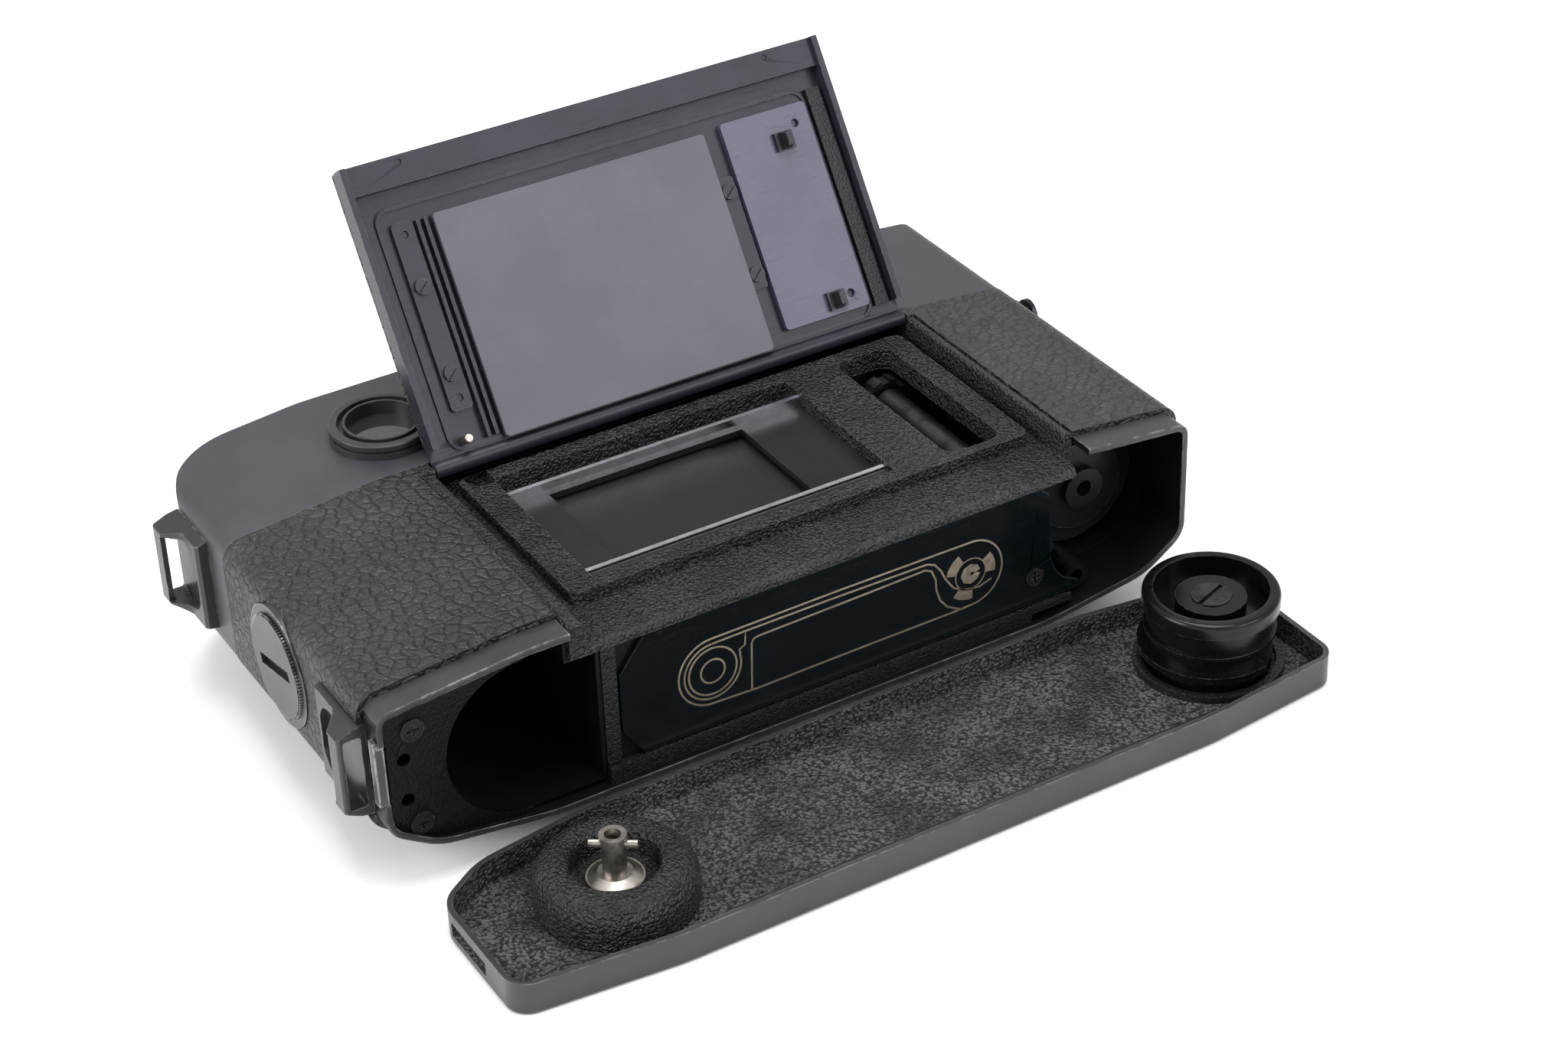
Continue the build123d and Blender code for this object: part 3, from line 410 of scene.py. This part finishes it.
def soften(width, *nodes):
    """Round the nodes' edges slightly, as the real ones are. The width is in mm."""
    for node in nodes:
        obj = NODES[node]
        weld = obj.modifiers.new("weld", "WELD")
        weld.merge_threshold = 0.002 * MM
        bevel = obj.modifiers.new("edges", "BEVEL")
        bevel.width = width * MM
        bevel.segments = 2
        bevel.limit_method = "ANGLE"
        bevel.angle_limit = math.radians(38.0)
        bevel.use_clamp_overlap = True
        bevel.harden_normals = False
        obj.modifiers.new("normals", "WEIGHTED_NORMAL").keep_sharp = False


def dress(material, *nodes):
    for node in nodes:
        mesh = NODES[node].data
        mesh.materials.clear()
        mesh.materials.append(material)


def split_material(node, second, test):
    """Give the faces of a node that pass a test a second material. The test gets centre and normal, in mm."""
    mesh = NODES[node].data
    mesh.materials.append(second)
    for face in mesh.polygons:
        if test(face.center / MM, face.normal):
            face.material_index = 1


make_camera()
for light in LIGHTS:
    area_light(*light)
make_world()
make_floor()

dress(
    satin_paint("satin_black", (0.033, 0.031, 0.037), (0.043, 0.041, 0.048)),
    "top_cover", "speed_dial", "top_fittings", "advance_lever", "lens_release",
)
dress(
    satin_paint("fittings_black", (0.016, 0.016, 0.017), (0.026, 0.026, 0.028), rough=0.34,
                wear=(0.40, 0.38, 0.35), wear_low=0.20, wear_high=0.55),
    "strap_lugs", "battery_cover", "battery_seat",
)
dress(
    satin_paint("satin_black_worn", (0.022, 0.022, 0.024), (0.036, 0.036, 0.039), rough=0.34,
                wear_low=0.08, wear_high=0.40),
    "body_shell",
)
dress(
    satin_paint("base_outside", (0.024, 0.023, 0.026), (0.034, 0.032, 0.037), rough=0.34,
                wear=(0.34, 0.32, 0.30), wear_low=0.22, wear_high=0.60),
    "base_plate",
)
dress(
    satin_paint("worn_catch", (0.050, 0.049, 0.050), (0.085, 0.083, 0.082), rough=0.30,
                wear=(0.60, 0.58, 0.55), wear_low=0.05, wear_high=0.30),
    "catch_plate",
)
dress(leatherette(), "body_leather", "door_leather")
dress(
    crinkle_paint("crinkle_black", (0.003, 0.003, 0.0035), (0.040, 0.040, 0.044),
                  scale=1.9, depth=0.60, rough=0.24, worn=0.8),
    "gate_frame", "rewind_boss", "hinge_brackets", "recess_side_rail",
)
# Painted shade: a darker copy of the crinkle paint, for the end plate's face turned from the lights.
dress(
    crinkle_paint("crinkle_painted_shade", (0.001, 0.001, 0.0012), (0.003, 0.003, 0.0033),
                  scale=1.8, depth=0.12, rough=0.45, specular=0.2),
    "end_plate",
)
dress(
    crinkle_paint("crinkle_fine", (0.004, 0.004, 0.005), (0.012, 0.012, 0.013),
                  scale=2.4, depth=0.14, rough=0.38),
    "lock_collar", "light_seal", "chassis_bars",
)
dress(
    smooth_paint("door_inside", (0.014, 0.014, 0.021), (0.020, 0.020, 0.029),
                 rough=0.32, edge=0.3, specular=0.32),
    "door_shell", "spring_holders", "pressure_springs", "door_screws",
)
dress(
    smooth_paint("smooth_black", (0.006, 0.006, 0.007), (0.011, 0.011, 0.012), edge=0.4, specular=0.35),
    "takeup_spool", "counter_disc", "finder_block", "door_retainer_strip", "film_guide_tabs", "bottom_screws",
)
# Blue-grey paint whose colour is lifted to stand in for part of its soft sheen: painted reflection.
dress(
    smooth_paint("pressure_plate_paint_and_sheen", (0.062, 0.060, 0.074), (0.076, 0.074, 0.090),
                 rough=0.36, scratch=0.10),
    "pressure_plate",
)
# Blue-grey paint whose colour is lifted to stand in for part of its soft sheen: painted reflection.
dress(
    smooth_paint("guide_plate_paint_and_sheen", (0.052, 0.052, 0.086), (0.062, 0.062, 0.100), rough=0.27),
    "film_guide_plate",
)
dress(
    smooth_paint("gate_black", (0.008, 0.008, 0.010), (0.013, 0.013, 0.015), edge=0.3, specular=0.3),
    "gate_plate",
)
# Near-black for the chambers and the crate, and painted shade on the body shell's left end.
CHAMBER_BLACK_AND_SHADE = smooth_paint(
    "chamber_black_and_shade", (0.002, 0.002, 0.0024), (0.004, 0.004, 0.0045), rough=0.42, specular=0.25,
)
dress(CHAMBER_BLACK_AND_SHADE, "cassette_chamber", "takeup_chamber", "shutter_crate", "curtain_rollers")
# On the lock drum, the edge colour round its rim is a painted highlight.
dress(
    smooth_paint("gloss_black", (0.002, 0.002, 0.0022), (0.004, 0.004, 0.0045),
                 rough=0.20, edge=0.3, specular=0.28),
    "lock_drum",
)
dress(
    smooth_paint("eyepiece_black", (0.018, 0.017, 0.018), (0.030, 0.028, 0.029), rough=0.38, edge=0.3),
    "eyepiece_ring",
)
dress(gloss_black(), "diagram_plate")
dress(cloth(), "shutter_curtains")
dress(
    metal("nickel", (0.42, 0.39, 0.35), (0.16, 0.15, 0.135), 0.34),
    "rewind_spindle", "door_pin",
)
dress(
    metal("polished_steel", (0.75, 0.75, 0.77), (0.55, 0.55, 0.56), 0.16, (1.0, 10.0, 10.0)),
    "film_rails",
)
dress(
    metal("blackened_metal", (0.07, 0.07, 0.075), (0.03, 0.03, 0.032), 0.35),
    "strap_stud", "lock_screw", "sprocket_shaft", "release_button", "guide_bushings",
)
dress(
    metal("satin_chrome", (0.62, 0.62, 0.64), (0.50, 0.50, 0.50), 0.30),
    "lens_mount", "lock_key", "rewind_disc", "rewind_crank", "self_timer_lever", "frame_selector_lever",
    "rewind_release_lever", "battery_cell",
)
dress(dark_glass(), "finder_glass")

# The base plate's inside, between its floor and its rim's top, has the crinkle finish of the tray, with a
# strong painted highlight on its grains standing in for its sheen.
TRAY = crinkle_paint(
    "tray_black", (0.010, 0.010, 0.011), (0.130, 0.125, 0.138), scale=1.7, depth=0.60, rough=0.24,
)
BASE_MIDDLE = Vector((8.7, -49.7, 3.0))
TRAY_LOW, TRAY_HIGH = 1.0, 5.5


def inside_tray(centre, normal):
    faces_middle = abs(normal.z) < 0.5 and (BASE_MIDDLE - centre).dot(normal) > 0
    return TRAY_LOW < centre.z < TRAY_HIGH and (normal.z > 0.9 or faces_middle)


# The body shell's inside, and its left end, which lies behind the lugs and the leather, are dark; on the left
# end the near-black is painted shade.
SHELL_MIDDLE = Vector((4.8, 0.0, 20.0))


def shell_inside_and_shaded_end(centre, normal):
    faces_middle = abs(normal.y) < 0.5 and (SHELL_MIDDLE - centre).dot(normal) > 0
    return normal.x < -0.9 or faces_middle


split_material("base_plate", TRAY, inside_tray)
split_material("body_shell", CHAMBER_BLACK_AND_SHADE, shell_inside_and_shaded_end)

# ------------------------------------------------------------------ the loading diagram, printed on its plate

# Points are (x, z) in mm, and angles are in degrees.
PRINT_Y, PRINT_THICK = -28.6, 0.03
CASSETTE_MARK, SPOOL_MARK = (-11.8, 18.8), (36.3, 18.9)
LINE, THIN_LINE = 0.34, 0.2
LOBE_INNER, LOBE_OUTER = 3.0, 4.8
GOLD = metal("diagram_gold", (0.66, 0.57, 0.42), (0.52, 0.44, 0.32), 0.36)


def ribbon(points, width, closed=False):
    """Vertices and faces of a flat line of the given width through points, on the plate's face."""
    count = len(points)
    left, right = [], []
    for i in range(count):
        before = points[(i - 1) % count] if closed or i else points[i]
        after = points[(i + 1) % count] if closed or i < count - 1 else points[i]
        along = (Vector(after) - Vector(before)).normalized() * width / 2
        left.append((points[i][0] - along.y, points[i][1] + along.x))
        right.append((points[i][0] + along.y, points[i][1] - along.x))
    vertices = [(x, PRINT_Y - lift, z) for lift in (0, PRINT_THICK) for x, z in left + right]
    faces = []
    for i in range(count if closed else count - 1):
        j = (i + 1) % count
        a, b, c, d = i, j, count + j, count + i
        up = 2 * count
        faces += [
            (a, b, c, d), (d + up, c + up, b + up, a + up),
            (a, a + up, b + up, b), (c, c + up, d + up, d),
        ]
    if not closed:
        last = count - 1
        faces += [(0, count, 3 * count, 2 * count), (last, last + 2 * count, last + 3 * count, last + count)]
    return vertices, faces


def arc(centre, radius, start, end, steps=24):
    """Points along an arc."""
    turns = [math.radians(start + (end - start) * i / steps) for i in range(steps + 1)]
    return [(centre[0] + radius * math.cos(t), centre[1] + radius * math.sin(t)) for t in turns]


def lobe(start, end, inner=LOBE_INNER, outer=LOBE_OUTER):
    """A filled part of a ring round the spool's mark: a short, wide ribbon along an arc."""
    return ribbon(arc(SPOOL_MARK, (inner + outer) / 2, start, end, 8), outer - inner)


def printed(name, ribbons):
    """One mesh from several ribbons, riding with the plate."""
    vertices, faces = [], []
    for some_vertices, some_faces in ribbons:
        start = len(vertices)
        vertices += some_vertices
        faces += [tuple(start + i for i in face) for face in some_faces]
    mesh = bpy.data.meshes.new(name)
    mesh.from_pydata([tuple(MM * c for c in v) for v in vertices], [], faces)
    mesh.materials.append(GOLD)
    piece = bpy.data.objects.new(name, mesh)
    add_to_scene(piece)
    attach(piece, BODY_OF["diagram_plate"])


outline_line = (
    arc(CASSETTE_MARK, 6.1, 92, 262) + [(-3.9, 12.4), (13.1, 12.6), (34.4, 12.7)]
    + arc(SPOOL_MARK, 6.1, -80, 84) + [(12.0, 25.1)]
)
cassette_line = arc(CASSETTE_MARK, 5.1, 90, 372) + [(-6.9, 21.0), (-5.9, 21.5), (-5.7, 24.0), (-11.7, 23.9)]
film_line = [
    (-5.7, 24.0), (9.9, 24.0), (28.0, 23.8), (29.4, 23.2), (30.6, 21.6), (31.4, 19.8), (33.0, 17.4),
    (35.2, 16.2), (38.0, 15.8), (40.4, 16.6),
]
gate_line = [
    (-5.0, 12.5), (-4.7, 21.3), (-4.3, 22.0), (-3.5, 22.2), (13.4, 22.5), (27.6, 22.8), (28.8, 22.2),
    (29.6, 20.2), (29.7, 18.2), (30.4, 16.0), (31.8, 14.2), (34.2, 12.8),
]
printed("diagram_lines", [
    ribbon(outline_line, LINE, closed=True),
    ribbon(cassette_line, LINE),
    ribbon(arc(CASSETTE_MARK, 4.3, 0, 345, 32), LINE, closed=True),
    ribbon(arc(CASSETTE_MARK, 2.15, 0, 345), LINE, closed=True),
    ribbon(film_line, LINE),
    ribbon(gate_line, LINE),
    ribbon(arc(SPOOL_MARK, 2.9, 0, 345), THIN_LINE, closed=True),
])
printed("diagram_lobes", [
    lobe(0, 360, inner=0.05, outer=1.9),
    lobe(118, 168),
    lobe(-12, 38),
    lobe(-135, -85),
])

soften(0.18, "base_plate", "body_shell", "gate_frame", "door_shell", "rewind_boss", "lock_drum", "strap_lugs")
soften(
    0.10,
    "diagram_plate", "end_plate", "pressure_plate", "film_guide_plate", "gate_plate", "top_fittings",
    "recess_side_rail",
)
